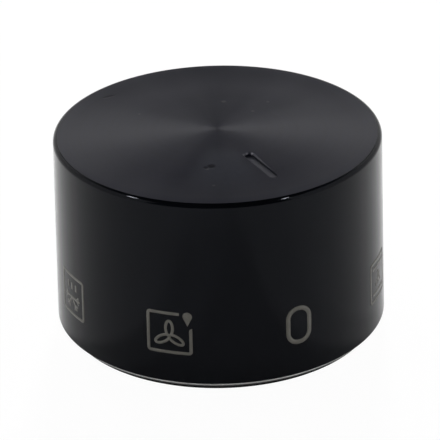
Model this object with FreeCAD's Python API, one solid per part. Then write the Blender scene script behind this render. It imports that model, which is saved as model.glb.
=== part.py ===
import FreeCAD, Part
import math
import os
from FreeCAD import Vector

# Push-on oven control knob: a black metal shell over a moulded core that grips a flatted shaft.
# Sizes are in millimetres and angles in degrees.
# +Z runs up the knob's axis from the foot it stands on, and the pointer groove faces -Y.

# Whole knob: the height of the top's rim, and the width across the lower edge
rim_height = 26.4
base_diameter = 43.0
side_draft = 0.8

# Shell: a cap with a crowned top, a flat-bottomed pointer groove and a bevelled lower edge
shell_wall = 1.0
shell_top_thickness = 1.3
shell_corner_radius = 0.5
top_edge_radius = 0.6
edge_bevel = 0.85
crown_height = 0.42
crown_rim = 2.15
crown_foot = 5.0
groove_inner_end = 8.1
groove_outer_end = 15.6
groove_width = 1.3
groove_depth = 0.26
groove_bevel = 0.09

# Core: skirt, top plate, hub, ribs and the foot below the shell
foot_height = 0.55
foot_inset = 0.2
foot_chamfer = 0.1
skirt_wall = 1.6
plate_thickness = 1.6
hub_diameter = 13.0
hub_recess = 5.0
rib_count = 4
rib_first_angle = 45.0
rib_thickness = 1.4
rib_recess = 9.0

# Snap bead that holds the core in the shell
bead_height = 0.25
bead_width = 1.6
bead_level = 6.0

# Socket for a round shaft with one flat
shaft_diameter = 6.0
shaft_across_flat = 4.6
socket_roof = 5.1
lead_in_depth = 3.0
mouth_chamfer = 0.3

# Spring clip: a strip that hooks over the hub's mouth and bows towards the shaft's flat
clip_thickness = 0.4
clip_width = 3.0
clip_lip = 1.2
clip_leg_spare = 1.0
clip_roof = 2.0

# Clearances: across the shell, shaft and lead-in, and round the clip
shell_clearance = 0.05
shaft_clearance = 0.1
lead_in_clearance = 0.5
clip_clearance = 0.05

# Levels, from the foot upwards
shell_low = foot_height
edge_level = shell_low + edge_bevel
shell_ceiling = rim_height - shell_top_thickness
plate_low = shell_ceiling - plate_thickness
lead_in_top = hub_recess + lead_in_depth
socket_top = shell_ceiling - socket_roof
clip_slot_top = socket_top - clip_roof

# Distances from the axis: the socket's wall and flat, and the slot behind the flat
socket_radius = (shaft_diameter + shaft_clearance) / 2
lead_in_radius = (shaft_diameter + lead_in_clearance) / 2
flat_offset = shaft_across_flat - shaft_diameter / 2 + shaft_clearance / 2
clip_front = lead_in_radius + clip_clearance
clip_back = clip_front + clip_thickness
slot_back = clip_back + clip_clearance


def outer_radius(level):
    """Radius of the shell's side, which leans in evenly from its lower edge."""
    return base_diameter / 2 - (level - edge_level) * math.tan(math.radians(side_draft))


# Crown: where it meets the flat rim, where it is steepest, that slope, and its inner and outer bend
crown_radius = outer_radius(rim_height) - crown_rim
crown_turn_radius = crown_radius - crown_foot
crown_slope = 2 * math.atan(crown_height / crown_radius)
crown_inner_bend = crown_turn_radius / math.sin(crown_slope)
crown_outer_bend = crown_foot / math.sin(crown_slope)


def crown_point(share):
    """Point of the crown's outline, at a share of its slope: 0 to 1 from the axis to the turn."""
    turn = share * crown_slope
    level = rim_height + crown_height - crown_inner_bend * (1 - math.cos(turn))
    return Vector(crown_inner_bend * math.sin(turn), 0, level)


def crown_foot_point(share):
    """Point of the crown's outline, at a share of its slope: 1 to 0 from the turn to the flat rim."""
    turn = share * crown_slope
    level = rim_height + crown_outer_bend * (1 - math.cos(turn))
    return Vector(crown_radius - crown_outer_bend * math.sin(turn), 0, level)


def crown_level(radius):
    """Level of the crown at a radius."""
    if radius < crown_turn_radius:
        return crown_point(math.asin(radius / crown_inner_bend) / crown_slope).z
    return crown_foot_point(math.asin((crown_radius - radius) / crown_outer_bend) / crown_slope).z


def inner_radius(level):
    """Radius of the shell's inner wall."""
    return outer_radius(level) - shell_wall


def skirt_radius(level):
    """Radius of the outside of the core's skirt, clear of the shell's inner wall."""
    return inner_radius(level) - shell_clearance


def hollow_radius(level):
    """Radius of the hollow inside the core's skirt."""
    return skirt_radius(level) - skirt_wall


def revolve(outline):
    """Solid of revolution about Z of a closed outline of (radius, level) points."""
    points = [Vector(radius, 0, level) for radius, level in outline]
    face = Part.Face(Part.makePolygon(points + points[:1]))
    return face.revolve(Vector(0, 0, 0), Vector(0, 0, 1), 360)


def box(low, high):
    """Box between two opposite corners."""
    size = Vector(*high) - Vector(*low)
    return Part.makeBox(size.x, size.y, size.z, Vector(*low))


def round_rim(solid, fillet, radius, level):
    """The solid with its circular edge of this radius and level rounded."""
    rim = [edge for edge in solid.Edges
           if not edge.Degenerated and isinstance(edge.Curve, Part.Circle)
           and abs(edge.Curve.Radius - radius) < 0.01
           and abs(edge.Curve.Center.z - level) < 0.01]
    return solid.makeFillet(fillet, rim)


def single(shape):
    """The one solid that a cut or a fusion has left."""
    return shape.removeSplitter().Solids[0]


def make_bead(spare):
    """Ring of the snap bead, from inside the skirt out to its crest, with spare all round."""
    half = bead_width / 2 + spare
    rise = bead_height + spare
    low = bead_level - half
    high = bead_level + half
    root = skirt_radius(bead_level) - skirt_wall / 2
    crest = skirt_radius(bead_level) + rise
    return revolve([
        (root, low),
        (skirt_radius(low), low),
        (crest, low + rise),
        (crest, high - rise),
        (skirt_radius(high), high),
        (root, high),
    ])


def make_groove_tool():
    """Flat-ended cutter with a bevelled shoulder that has run level along the pointer groove."""
    half_width = groove_width / 2
    floor_half = half_width - groove_bevel
    top_level = crown_level((groove_inner_end + groove_outer_end) / 2)
    floor_level = top_level - groove_depth
    clear_level = rim_height + 2 * crown_height
    side = [
        (floor_half, floor_level),
        (floor_half, top_level - groove_bevel),
        (half_width + clear_level - top_level, clear_level),
    ]
    end = revolve([(0, floor_level)] + side + [(0, clear_level)])
    start = Vector(0, -(groove_inner_end + half_width), 0)
    stop = Vector(0, -(groove_outer_end - half_width), 0)
    section = [Vector(across, start.y, level) for across, level in side]
    section += [Vector(-across, start.y, level) for across, level in reversed(side)]
    run = Part.Face(Part.makePolygon(section + section[:1])).extrude(stop - start)
    return run.fuse([end.translated(start), end.translated(stop)])


def make_blank():
    """Solid shell: a bevelled lower edge, a leaning side, a flat rim and the crown inside it."""
    corners = [Vector(radius, 0, level) for radius, level in (
        (0, shell_low),
        (outer_radius(edge_level) - edge_bevel, shell_low),
        (outer_radius(edge_level), edge_level),
        (outer_radius(rim_height), rim_height),
    )]
    crown = Part.Arc(crown_point(1), crown_point(0.5), crown_point(0))
    crown_foot = Part.Arc(crown_foot_point(0), crown_foot_point(0.5), crown_point(1))
    path = corners + [crown_foot_point(0)]
    edges = [Part.makeLine(path[index], path[index + 1]) for index in range(len(path) - 1)]
    edges += [crown_foot.toShape(), crown.toShape(), Part.makeLine(crown_point(0), corners[0])]
    return Part.Face(Part.Wire(edges)).revolve(Vector(0, 0, 0), Vector(0, 0, 1), 360)


def make_shell():
    """Cap with a thin wall, a crowned top, a rounded top edge and the pointer groove."""
    blank = round_rim(make_blank(), top_edge_radius, outer_radius(rim_height), rim_height)
    hollow = revolve([
        (0, shell_low),
        (inner_radius(shell_low), shell_low),
        (inner_radius(shell_ceiling), shell_ceiling),
        (0, shell_ceiling),
    ])
    hollow = round_rim(hollow, shell_corner_radius, inner_radius(shell_ceiling), shell_ceiling)
    return single(blank.cut([hollow, make_bead(shell_clearance), make_groove_tool()]))


def make_socket_tool():
    """Shaft socket: a chamfered round lead-in, then a round hole with one flat on the pointer's side."""
    mouth = Vector(0, 0, hub_recess)
    round_hole = Part.makeCylinder(socket_radius, socket_top - hub_recess, mouth)
    beyond_flat = box((-socket_radius, -socket_radius, hub_recess), (socket_radius, -flat_offset, socket_top))
    lead_in = Part.makeCylinder(lead_in_radius, lead_in_depth, mouth)
    chamfer = Part.makeCone(lead_in_radius + mouth_chamfer, lead_in_radius, mouth_chamfer, mouth)
    return round_hole.cut(beyond_flat).fuse([lead_in, chamfer])


def make_clip_slot():
    """Slot through the socket's flat, open at the hub's mouth, that holds the spring clip."""
    half = clip_width / 2 + clip_clearance
    return box((-half, -slot_back, hub_recess), (half, 0, clip_slot_top))


def make_ribs():
    """Radial ribs between the hub and the skirt, under the top plate."""
    start = hub_diameter / 2 - rib_thickness
    stop = hollow_radius(rib_recess) + skirt_wall / 2
    rib = box((start, -rib_thickness / 2, rib_recess), (stop, rib_thickness / 2, plate_low))
    ribs = []
    for index in range(rib_count):
        turned = rib.copy()
        turned.rotate(Vector(0, 0, 0), Vector(0, 0, 1), rib_first_angle + index * 360 / rib_count)
        ribs.append(turned)
    return ribs


def make_core():
    """Moulding that fills the shell, stands below it and holds the shaft."""
    corner = shell_corner_radius + shell_clearance
    foot_radius = skirt_radius(foot_height) - foot_inset
    cup = revolve([
        (hollow_radius(0), 0),
        (foot_radius - foot_chamfer, 0),
        (foot_radius, foot_chamfer),
        (foot_radius, foot_height),
        (skirt_radius(foot_height), foot_height),
        (skirt_radius(shell_ceiling - corner), shell_ceiling - corner),
        (skirt_radius(shell_ceiling) - corner, shell_ceiling),
        (0, shell_ceiling),
        (0, plate_low),
        (hollow_radius(plate_low), plate_low),
    ])
    hub = Part.makeCylinder(hub_diameter / 2, plate_low - hub_recess, Vector(0, 0, hub_recess))
    solid = cup.fuse([make_bead(0), hub] + make_ribs())
    return single(solid.cut([make_socket_tool(), make_clip_slot()]))


def make_shaft_clip():
    """Bent strip: a lip over the hub's mouth, a leg along the slot's back and a bow towards the flat."""
    lip_top = hub_recess - clip_clearance
    lip_low = lip_top - clip_thickness
    lip_end = clip_back + clip_lip
    bow_low = lead_in_top + clip_leg_spare
    bow_top = clip_slot_top - clip_clearance
    bow_middle = (bow_low + bow_top) / 2
    crest = flat_offset + clip_clearance
    bend_radius = 2 * clip_clearance

    def point(outward, level):
        return Vector(-clip_width / 2, -outward, level)

    front_bow = Part.Arc(point(clip_front, bow_low), point(crest, bow_middle), point(clip_front, bow_top))
    back_bow = Part.Arc(point(clip_back, bow_top), point(crest + clip_thickness, bow_middle),
                        point(clip_back, bow_low))
    outline = Part.Wire([
        Part.makeLine(point(lip_end, lip_low), point(clip_front, lip_low)),
        Part.makeLine(point(clip_front, lip_low), point(clip_front, bow_low)),
        front_bow.toShape(),
        Part.makeLine(point(clip_front, bow_top), point(clip_back, bow_top)),
        back_bow.toShape(),
        Part.makeLine(point(clip_back, bow_low), point(clip_back, lip_top)),
        Part.makeLine(point(clip_back, lip_top), point(lip_end, lip_top)),
        Part.makeLine(point(lip_end, lip_top), point(lip_end, lip_low)),
    ])
    strip = Part.Face(outline).extrude(Vector(clip_width, 0, 0))

    def bend_edges(solid, outward, level):
        corner = Vector(0, -outward, level)
        return [edge for edge in solid.Edges if edge.CenterOfMass.distanceToPoint(corner) < 0.01]

    strip = strip.makeFillet(bend_radius + clip_thickness, bend_edges(strip, clip_front, lip_low))
    return single(strip.makeFillet(bend_radius, bend_edges(strip, clip_back, lip_top)))


os.makedirs("parts", exist_ok=True)
for node, solid in (("shell", make_shell()), ("core", make_core()), ("shaft_clip", make_shaft_clip())):
    solid.exportStep("parts/" + node + ".step")
    print(node, "valid", solid.isValid(), "volume", round(solid.Volume, 1), "box", solid.BoundBox)
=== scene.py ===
import math

import bpy
from bpy.props import FloatProperty, FloatVectorProperty, IntProperty, PointerProperty
from mathutils import Matrix, Vector


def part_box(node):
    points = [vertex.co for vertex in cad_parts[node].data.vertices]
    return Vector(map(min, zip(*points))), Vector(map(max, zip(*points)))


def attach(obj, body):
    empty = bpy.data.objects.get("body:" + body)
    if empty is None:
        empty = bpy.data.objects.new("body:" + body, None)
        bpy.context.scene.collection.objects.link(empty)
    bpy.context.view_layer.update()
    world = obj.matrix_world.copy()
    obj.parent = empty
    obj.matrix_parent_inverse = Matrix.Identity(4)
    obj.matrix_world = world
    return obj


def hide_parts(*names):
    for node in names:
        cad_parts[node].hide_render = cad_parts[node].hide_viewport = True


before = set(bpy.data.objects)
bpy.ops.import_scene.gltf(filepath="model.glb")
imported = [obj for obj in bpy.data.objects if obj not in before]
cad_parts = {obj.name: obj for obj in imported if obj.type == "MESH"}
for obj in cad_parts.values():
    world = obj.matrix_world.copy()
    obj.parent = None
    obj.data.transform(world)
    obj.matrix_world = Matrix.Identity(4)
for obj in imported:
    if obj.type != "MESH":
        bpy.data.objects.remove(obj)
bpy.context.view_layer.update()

bl_info = {
    "name": "Oven control knob",
    "version": (1, 0, 0),
    "blender": (4, 5, 0),
    "location": "View3D > Sidebar > Knob",
    "description": "Dresses the packed oven control knob with its shell, print, finishes and stage",
    "category": "Object",
}

MM = 0.001
SHELL_LOW, SHELL_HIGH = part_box("shell")
CROWN = 0.42 * MM

# Room under the top of the CAD box, so that the crowned mesh stays inside it
BOX_SPARE = 0.001 * MM


# Settings that a user would change

class ShellSettings(bpy.types.PropertyGroup):
    """Sizes and colours of the black shell"""

    diameter: FloatProperty(
        name="Base Diameter", description="Width of the shell just above its bevelled edge",
        default=2 * min(*SHELL_HIGH.xy, *-SHELL_LOW.xy), unit="LENGTH", subtype="DISTANCE")
    rim_level: FloatProperty(
        name="Rim Level", description="Height of the spun top's rim above the foot",
        default=SHELL_HIGH.z - CROWN - BOX_SPARE, unit="LENGTH", subtype="DISTANCE")
    crown: FloatProperty(
        name="Crown", description="Rise of the spun top from its rim to its middle",
        default=CROWN, unit="LENGTH", subtype="DISTANCE")
    crown_radius: FloatProperty(
        name="Crown Radius", description="Distance from the axis at which the crown meets the flat rim",
        default=19.0 * MM, unit="LENGTH", subtype="DISTANCE")
    crown_turn_radius: FloatProperty(
        name="Crown Turn Radius", description="Distance from the axis at which the crown is steepest",
        default=14.0 * MM, unit="LENGTH", subtype="DISTANCE")
    low_level: FloatProperty(
        name="Low Level", description="Height of the shell's lower edge above the foot",
        default=SHELL_LOW.z, unit="LENGTH", subtype="DISTANCE")
    draft: FloatProperty(
        name="Side Draft", description="How far the side leans in towards the top",
        default=math.radians(0.8), unit="ROTATION", subtype="ANGLE")
    wall: FloatProperty(
        name="Wall", description="Thickness of the side wall",
        default=1.0 * MM, unit="LENGTH", subtype="DISTANCE")
    top_thickness: FloatProperty(
        name="Top Thickness", description="Thickness of the top at its rim",
        default=1.3 * MM, unit="LENGTH", subtype="DISTANCE")
    edge_radius: FloatProperty(
        name="Top Edge Radius", description="Rounding between the top and the side",
        default=0.6 * MM, unit="LENGTH", subtype="DISTANCE")
    corner_radius: FloatProperty(
        name="Inner Corner Radius", description="Rounding inside the shell, under its top",
        default=0.5 * MM, unit="LENGTH", subtype="DISTANCE")
    bevel: FloatProperty(
        name="Edge Bevel", description="Size of the bevel round the lower edge",
        default=0.85 * MM, unit="LENGTH", subtype="DISTANCE")
    bare_low: FloatProperty(
        name="Bare Low", description="Height of the bare band's lower side above the lower edge",
        default=0.36 * MM, unit="LENGTH", subtype="DISTANCE")
    bare_high: FloatProperty(
        name="Bare High", description="Height of the bare band's upper side above the lower edge",
        default=0.78 * MM, unit="LENGTH", subtype="DISTANCE")
    bead_level: FloatProperty(
        name="Bead Level", description="Height of the groove inside that takes the core's snap bead",
        default=6.0 * MM, unit="LENGTH", subtype="DISTANCE")
    bead_depth: FloatProperty(
        name="Bead Depth", description="Depth of the groove that takes the snap bead",
        default=0.25 * MM, unit="LENGTH", subtype="DISTANCE")
    bead_width: FloatProperty(
        name="Bead Width", description="Width of the groove that takes the snap bead",
        default=1.6 * MM, unit="LENGTH", subtype="DISTANCE")
    groove_inner_end: FloatProperty(
        name="Groove Inner End", description="Distance of the pointer groove's inner end from the axis",
        default=8.1 * MM, unit="LENGTH", subtype="DISTANCE")
    groove_outer_end: FloatProperty(
        name="Groove Outer End", description="Distance of the pointer groove's outer end from the axis",
        default=15.6 * MM, unit="LENGTH", subtype="DISTANCE")
    groove_width: FloatProperty(
        name="Groove Width", description="Width of the pointer groove",
        default=1.3 * MM, unit="LENGTH", subtype="DISTANCE")
    groove_depth: FloatProperty(
        name="Groove Depth", description="Depth of the pointer groove",
        default=0.26 * MM, unit="LENGTH", subtype="DISTANCE")
    groove_bevel: FloatProperty(
        name="Groove Bevel", description="Bevel round the upper edge of the pointer groove",
        default=0.09 * MM, unit="LENGTH", subtype="DISTANCE")
    segments: IntProperty(
        name="Segments", description="Steps round the shell", default=288, min=32, max=720)
    coat_colour: FloatVectorProperty(
        name="Coat Colour", description="Black of the shell's side",
        default=(0.0013, 0.0015, 0.0022), size=3, min=0, max=1, subtype="COLOR")
    spun_colour: FloatVectorProperty(
        name="Spun Colour", description="Black of the spun top",
        default=(0.0021, 0.0025, 0.0066), size=3, min=0, max=1, subtype="COLOR")
    speck_colour: FloatVectorProperty(
        name="Speck Colour", description="Pale specks on the spun top",
        default=(0.030, 0.030, 0.030), size=3, min=0, max=1, subtype="COLOR")
    # Painted highlight: the paler fan of the spun top's sheen, painted into its colour
    painted_fan_highlight_colour: FloatVectorProperty(
        name="Painted Highlight Colour", description="Paler patch on the spun top, beside the groove",
        default=(0.0100, 0.0112, 0.0160), size=3, min=0, max=1, subtype="COLOR")
    bare_colour: FloatVectorProperty(
        name="Bare Colour", description="Bare cut metal at the lower edge",
        default=(0.85, 0.85, 0.84), size=3, min=0, max=1, subtype="COLOR")


class PrintSettings(bpy.types.PropertyGroup):
    """Sizes and colour of the printed number and symbols"""

    level: FloatProperty(
        name="Level", description="Height of the middle of the print above the foot",
        default=8.3 * MM, unit="LENGTH", subtype="DISTANCE")
    frame_width: FloatProperty(
        name="Frame Width", description="Width of a symbol's frame",
        default=6.03 * MM, unit="LENGTH", subtype="DISTANCE")
    frame_height: FloatProperty(
        name="Frame Height", description="Height of a symbol's frame",
        default=5.9 * MM, unit="LENGTH", subtype="DISTANCE")
    line: FloatProperty(
        name="Line Width", description="Width of the printed lines",
        default=0.42 * MM, unit="LENGTH", subtype="DISTANCE")
    number_width: FloatProperty(
        name="Number Width", description="Width of the number",
        default=3.6 * MM, unit="LENGTH", subtype="DISTANCE")
    number_height: FloatProperty(
        name="Number Height", description="Height of the number",
        default=5.34 * MM, unit="LENGTH", subtype="DISTANCE")
    number_line: FloatProperty(
        name="Number Line Width", description="Width of the number's line",
        default=0.6 * MM, unit="LENGTH", subtype="DISTANCE")
    ink: FloatProperty(
        name="Ink Thickness", description="How far the print stands off the side",
        default=0.015 * MM, unit="LENGTH", subtype="DISTANCE")
    colour: FloatVectorProperty(
        name="Ink Colour", description="Warm grey of the print",
        default=(0.073, 0.070, 0.059), size=3, min=0, max=1, subtype="COLOR")


class InsideSettings(bpy.types.PropertyGroup):
    """Colours of the core and the spring clip"""

    core_colour: FloatVectorProperty(
        name="Core Colour", description="Black of the moulded core",
        default=(0.005, 0.005, 0.0053), size=3, min=0, max=1, subtype="COLOR")
    clip_colour: FloatVectorProperty(
        name="Clip Colour", description="Spring steel of the clip",
        default=(0.55, 0.54, 0.52), size=3, min=0, max=1, subtype="COLOR")


class StageSettings(bpy.types.PropertyGroup):
    """Camera, floor and lamps"""

    azimuth: FloatProperty(
        name="Camera Azimuth", description="Turn of the camera round the knob from the pointer groove",
        default=math.radians(-27.0), unit="ROTATION", subtype="ANGLE")
    elevation: FloatProperty(
        name="Camera Elevation", description="Angle of the camera above the floor",
        default=math.radians(27.05), unit="ROTATION", subtype="ANGLE")
    roll: FloatProperty(
        name="Camera Roll", description="Tilt of the camera about its line of sight",
        default=math.radians(1.32), unit="ROTATION", subtype="ANGLE")
    distance: FloatProperty(
        name="Camera Distance", description="Distance of the camera from the middle of the knob",
        default=399.7 * MM, unit="LENGTH", subtype="DISTANCE")
    aim_level: FloatProperty(
        name="Aim Level", description="Height of the point that the camera looks at",
        default=13.2 * MM, unit="LENGTH", subtype="DISTANCE")
    lens: FloatProperty(
        name="Lens", description="Focal length in millimetres", default=250.7)
    floor_colour: FloatVectorProperty(
        name="Floor Colour", description="White of the floor and the backdrop",
        default=(0.82, 0.82, 0.82), size=3, min=0, max=1, subtype="COLOR")
    backdrop: FloatProperty(
        name="Backdrop Height", description="Height of the paper behind the knob",
        default=0.52, unit="LENGTH", subtype="DISTANCE")
    card: FloatProperty(
        name="Card Height", description="Height of the white card at each side",
        default=1.2, unit="LENGTH", subtype="DISTANCE")
    side_power: FloatProperty(
        name="Side Power", description="Power of the left side lamp, seen only as a glint",
        default=1.9, unit="POWER", subtype="POWER")
    back_power: FloatProperty(
        name="Back Power", description="Power of the main lamp behind the knob",
        default=7.8, unit="POWER", subtype="POWER")
    front_power: FloatProperty(
        name="Front Power", description="Power of the low lamp in front",
        default=2.6, unit="POWER", subtype="POWER")
    fill: FloatProperty(
        name="Room Light", description="Strength of the even light of the room", default=0.20, min=0)


# Node helpers

NODE_SPACING = 180


def feed(tree, socket, value):
    """Links a socket from another node's output, or sets it to a plain value."""
    if isinstance(value, bpy.types.NodeSocket):
        tree.links.new(value, socket)
    else:
        socket.default_value = value


def add_node(tree, kind, inputs=None, **settings):
    """New node with its settings and inputs, placed to the right of those already there."""
    node = tree.nodes.new(kind)
    node.location = (NODE_SPACING * len(tree.nodes), 0)
    for name, value in settings.items():
        setattr(node, name, value)
    for key, value in (inputs or {}).items():
        feed(tree, node.inputs[key], value)
    return node


def maths(tree, operation, *values):
    """Output of a Math node on sockets or numbers."""
    return add_node(tree, "ShaderNodeMath", dict(enumerate(values)), operation=operation).outputs[0]


def vector_maths(tree, operation, *values):
    """Output of a Vector Math node on sockets or vectors."""
    node = add_node(tree, "ShaderNodeVectorMath", dict(enumerate(values)), operation=operation)
    return node.outputs["Value" if operation in {"LENGTH", "DOT_PRODUCT"} else "Vector"]


def split(tree, vector):
    """X, Y and Z outputs of a vector."""
    return add_node(tree, "ShaderNodeSeparateXYZ", {"Vector": vector}).outputs


def combine(tree, x, y, z):
    """Vector output made of three values."""
    return add_node(tree, "ShaderNodeCombineXYZ", {"X": x, "Y": y, "Z": z}).outputs[0]


def spread(tree, value, low, high, new_low, new_high, smooth=False):
    """Output of a clamped Map Range node, even or with soft ends."""
    return add_node(tree, "ShaderNodeMapRange", {
        "Value": value, "From Min": low, "From Max": high, "To Min": new_low, "To Max": new_high,
    }, interpolation_type="SMOOTHSTEP" if smooth else "LINEAR").outputs[0]


def new_tree(name, kind, inputs, outputs):
    """Node group with named sockets, and its input and output nodes."""
    tree = bpy.data.node_groups.new(name, kind)
    for in_out, sockets in (("INPUT", inputs), ("OUTPUT", outputs)):
        for socket_name, socket_kind in sockets:
            tree.interface.new_socket(socket_name, in_out=in_out, socket_type=socket_kind)
    return tree, add_node(tree, "NodeGroupInput"), add_node(tree, "NodeGroupOutput")


# Geometry Nodes

LINE_WIDTH = "line_width"
SEAM_DISTANCE = 0.001 * MM
CREASE_ANGLE = math.radians(25)
CUTTER_STEPS = 64

# Spare by which a finish reaches past its own faces: below the top, round the groove,
# and below the groove's floor as a share of its depth
TOP_SPARE = 0.002 * MM
GROOVE_SPARE = 0.005 * MM
GROOVE_FLOOR_SHARE = 1.02


def make_turned_shell_tree():
    """Turns a section about Z, cuts the pointer groove in the top and gives each surface its finish."""
    tree, given, result = new_tree("turned_shell", "GeometryNodeTree", [
        ("Section", "NodeSocketGeometry"),
        ("Segments", "NodeSocketInt"),
        ("Rim Level", "NodeSocketFloat"),
        ("Bare Low", "NodeSocketFloat"),
        ("Bare High", "NodeSocketFloat"),
        ("Groove Inner End", "NodeSocketFloat"),
        ("Groove Outer End", "NodeSocketFloat"),
        ("Groove Width", "NodeSocketFloat"),
        ("Groove Depth", "NodeSocketFloat"),
        ("Groove Bevel", "NodeSocketFloat"),
        ("Groove Level", "NodeSocketFloat"),
        ("Side Finish", "NodeSocketMaterial"),
        ("Top Finish", "NodeSocketMaterial"),
        ("Groove Finish", "NodeSocketMaterial"),
        ("Edge Finish", "NodeSocketMaterial"),
    ], [("Shell", "NodeSocketGeometry")])
    into = given.outputs
    position = add_node(tree, "GeometryNodeInputPosition").outputs[0]

    # Surface of revolution: one column of the grid for each step of the turn
    section, segments = into["Section"], into["Segments"]
    rows = add_node(tree, "GeometryNodeAttributeDomainSize", {"Geometry": section}).outputs["Point Count"]
    grid = add_node(tree, "GeometryNodeMeshGrid", {
        "Vertices X": maths(tree, "ADD", segments, 1.0), "Vertices Y": rows})
    index = add_node(tree, "GeometryNodeInputIndex").outputs[0]
    column = maths(tree, "FLOOR", maths(tree, "DIVIDE", maths(tree, "ADD", index, 0.5), rows))
    row = maths(tree, "SUBTRACT", index, maths(tree, "MULTIPLY", column, rows))
    angle = maths(tree, "MULTIPLY", maths(tree, "DIVIDE", column, segments), 2 * math.pi)
    sample = add_node(tree, "GeometryNodeSampleIndex", {
        "Geometry": section, "Value": position, "Index": row}, data_type="FLOAT_VECTOR", domain="POINT")
    turn = add_node(tree, "ShaderNodeVectorRotate", {
        "Vector": sample.outputs["Value"], "Angle": angle}, rotation_type="Z_AXIS")
    place = add_node(tree, "GeometryNodeSetPosition", {
        "Geometry": grid.outputs["Mesh"], "Position": turn.outputs[0]})
    close = add_node(tree, "GeometryNodeMergeByDistance", {
        "Geometry": place.outputs[0], "Distance": SEAM_DISTANCE})

    # Cutters of the groove: a drum, and a cone for its bevelled shoulder, both drawn out along Y
    inner_end, outer_end = into["Groove Inner End"], into["Groove Outer End"]
    depth, bevel, groove_level = into["Groove Depth"], into["Groove Bevel"], into["Groove Level"]
    half = maths(tree, "MULTIPLY", into["Groove Width"], 0.5)
    length = maths(tree, "SUBTRACT", outer_end, inner_end)
    reach = maths(tree, "SUBTRACT", maths(tree, "MULTIPLY", length, 0.5), half)
    middle = maths(tree, "MULTIPLY", maths(tree, "ADD", outer_end, inner_end), -0.5)
    floor_half = maths(tree, "SUBTRACT", half, bevel)
    shoulder_low = maths(tree, "SUBTRACT", groove_level, bevel)
    shoulder_rise = maths(tree, "ADD", bevel, depth)
    drum = add_node(tree, "GeometryNodeMeshCylinder", {
        "Vertices": CUTTER_STEPS,
        "Radius": floor_half,
        "Depth": maths(tree, "MULTIPLY", depth, 2.0),
    })
    shoulder = add_node(tree, "GeometryNodeMeshCone", {
        "Vertices": CUTTER_STEPS,
        "Radius Bottom": floor_half,
        "Radius Top": maths(tree, "ADD", floor_half, shoulder_rise),
        "Depth": shoulder_rise,
    })
    cut = add_node(tree, "GeometryNodeMeshBoolean", {"Mesh 1": close.outputs[0]},
                   operation="DIFFERENCE", solver="EXACT")
    side = maths(tree, "SIGN", split(tree, position)["Y"])
    draw = maths(tree, "ADD", maths(tree, "MULTIPLY", side, reach), middle)
    for cutter, lift in ((drum, groove_level), (shoulder, shoulder_low)):
        drawn = add_node(tree, "GeometryNodeSetPosition", {
            "Geometry": cutter.outputs["Mesh"], "Offset": combine(tree, 0.0, draw, lift)})
        feed(tree, cut.inputs["Mesh 2"], drawn.outputs[0])

    # Smooth surfaces between sharp edges
    smooth = add_node(tree, "GeometryNodeSetShadeSmooth", {"Geometry": cut.outputs["Mesh"]}, domain="FACE")
    edge_angle = add_node(tree, "GeometryNodeInputMeshEdgeAngle").outputs["Unsigned Angle"]
    crease = maths(tree, "GREATER_THAN", edge_angle, CREASE_ANGLE)
    sharp = add_node(tree, "GeometryNodeSetShadeSmooth", {
        "Geometry": smooth.outputs[0], "Selection": crease, "Shade Smooth": False}, domain="EDGE")

    # Finishes, by the place of each face
    x, y, level = split(tree, position)[:3]
    groove_low = maths(tree, "SUBTRACT", groove_level, maths(tree, "MULTIPLY", depth, GROOVE_FLOOR_SHARE))
    top_low = maths(tree, "SUBTRACT", into["Rim Level"], TOP_SPARE)
    along = maths(tree, "ABSOLUTE", maths(tree, "SUBTRACT", y, middle))
    beyond = maths(tree, "MAXIMUM", maths(tree, "SUBTRACT", along, reach), 0.0)
    aside = vector_maths(tree, "LENGTH", combine(tree, x, beyond, 0.0))
    widened = maths(tree, "ADD", floor_half, maths(
        tree, "MAXIMUM", maths(tree, "SUBTRACT", level, shoulder_low), 0.0))
    in_groove = maths(tree, "MULTIPLY",
                      maths(tree, "GREATER_THAN", level, groove_low),
                      maths(tree, "LESS_THAN", aside, maths(tree, "ADD", widened, GROOVE_SPARE)))
    on_top = maths(tree, "GREATER_THAN", level, top_low)
    on_edge = maths(tree, "MULTIPLY",
                    maths(tree, "GREATER_THAN", level, into["Bare Low"]),
                    maths(tree, "LESS_THAN", level, into["Bare High"]))
    shape = add_node(tree, "GeometryNodeRealizeInstances", {"Geometry": sharp.outputs[0]}).outputs[0]
    for finish, where in (("Side Finish", True), ("Top Finish", on_top),
                          ("Groove Finish", in_groove), ("Edge Finish", on_edge)):
        shape = add_node(tree, "GeometryNodeSetMaterial", {
            "Geometry": shape, "Selection": where, "Material": into[finish]}).outputs[0]
    feed(tree, result.inputs["Shell"], shape)
    return tree


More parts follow.
